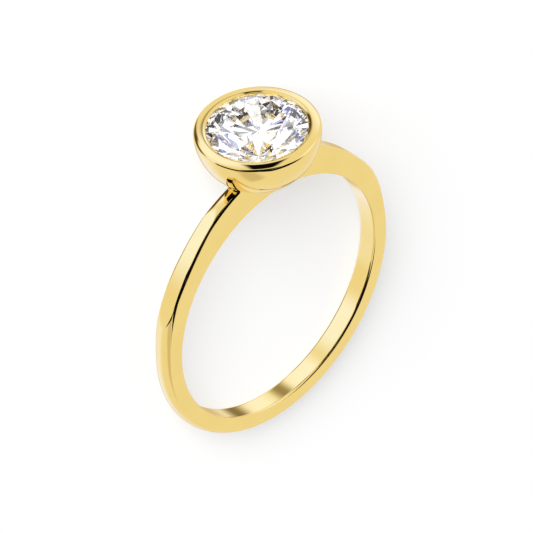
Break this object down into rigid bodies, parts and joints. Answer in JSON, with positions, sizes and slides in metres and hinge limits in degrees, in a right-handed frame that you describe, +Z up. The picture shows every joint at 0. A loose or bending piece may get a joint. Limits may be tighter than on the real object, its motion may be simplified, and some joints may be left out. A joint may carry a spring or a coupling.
{
  "type": "solitaire ring",
  "caption": "Yellow gold finger ring with one round brilliant rubbed over in a cup setting, on a flat-sided, low-domed shank whose shoulders rise to the stone and are filed flat across.",
  "frame": {"origin": "on the surface that the ring lies on, below the middle of its bounding box", "axes": "+Z up from that surface, roughly along the finger hole's axis, which leans 8.2 degrees from it, as the ring lies; -Y towards the stone, which looks slightly upwards; X across the ring"},
  "size_m": [0.019, 0.0236, 0.0076],
  "materials": {
    "gold": "mirror polished",
    "stone": "faceted and polished"
  },
  "bodies": {
    "root": {"ring_metal": "gold", "stone": "stone"}
  },
  "joints": []
}
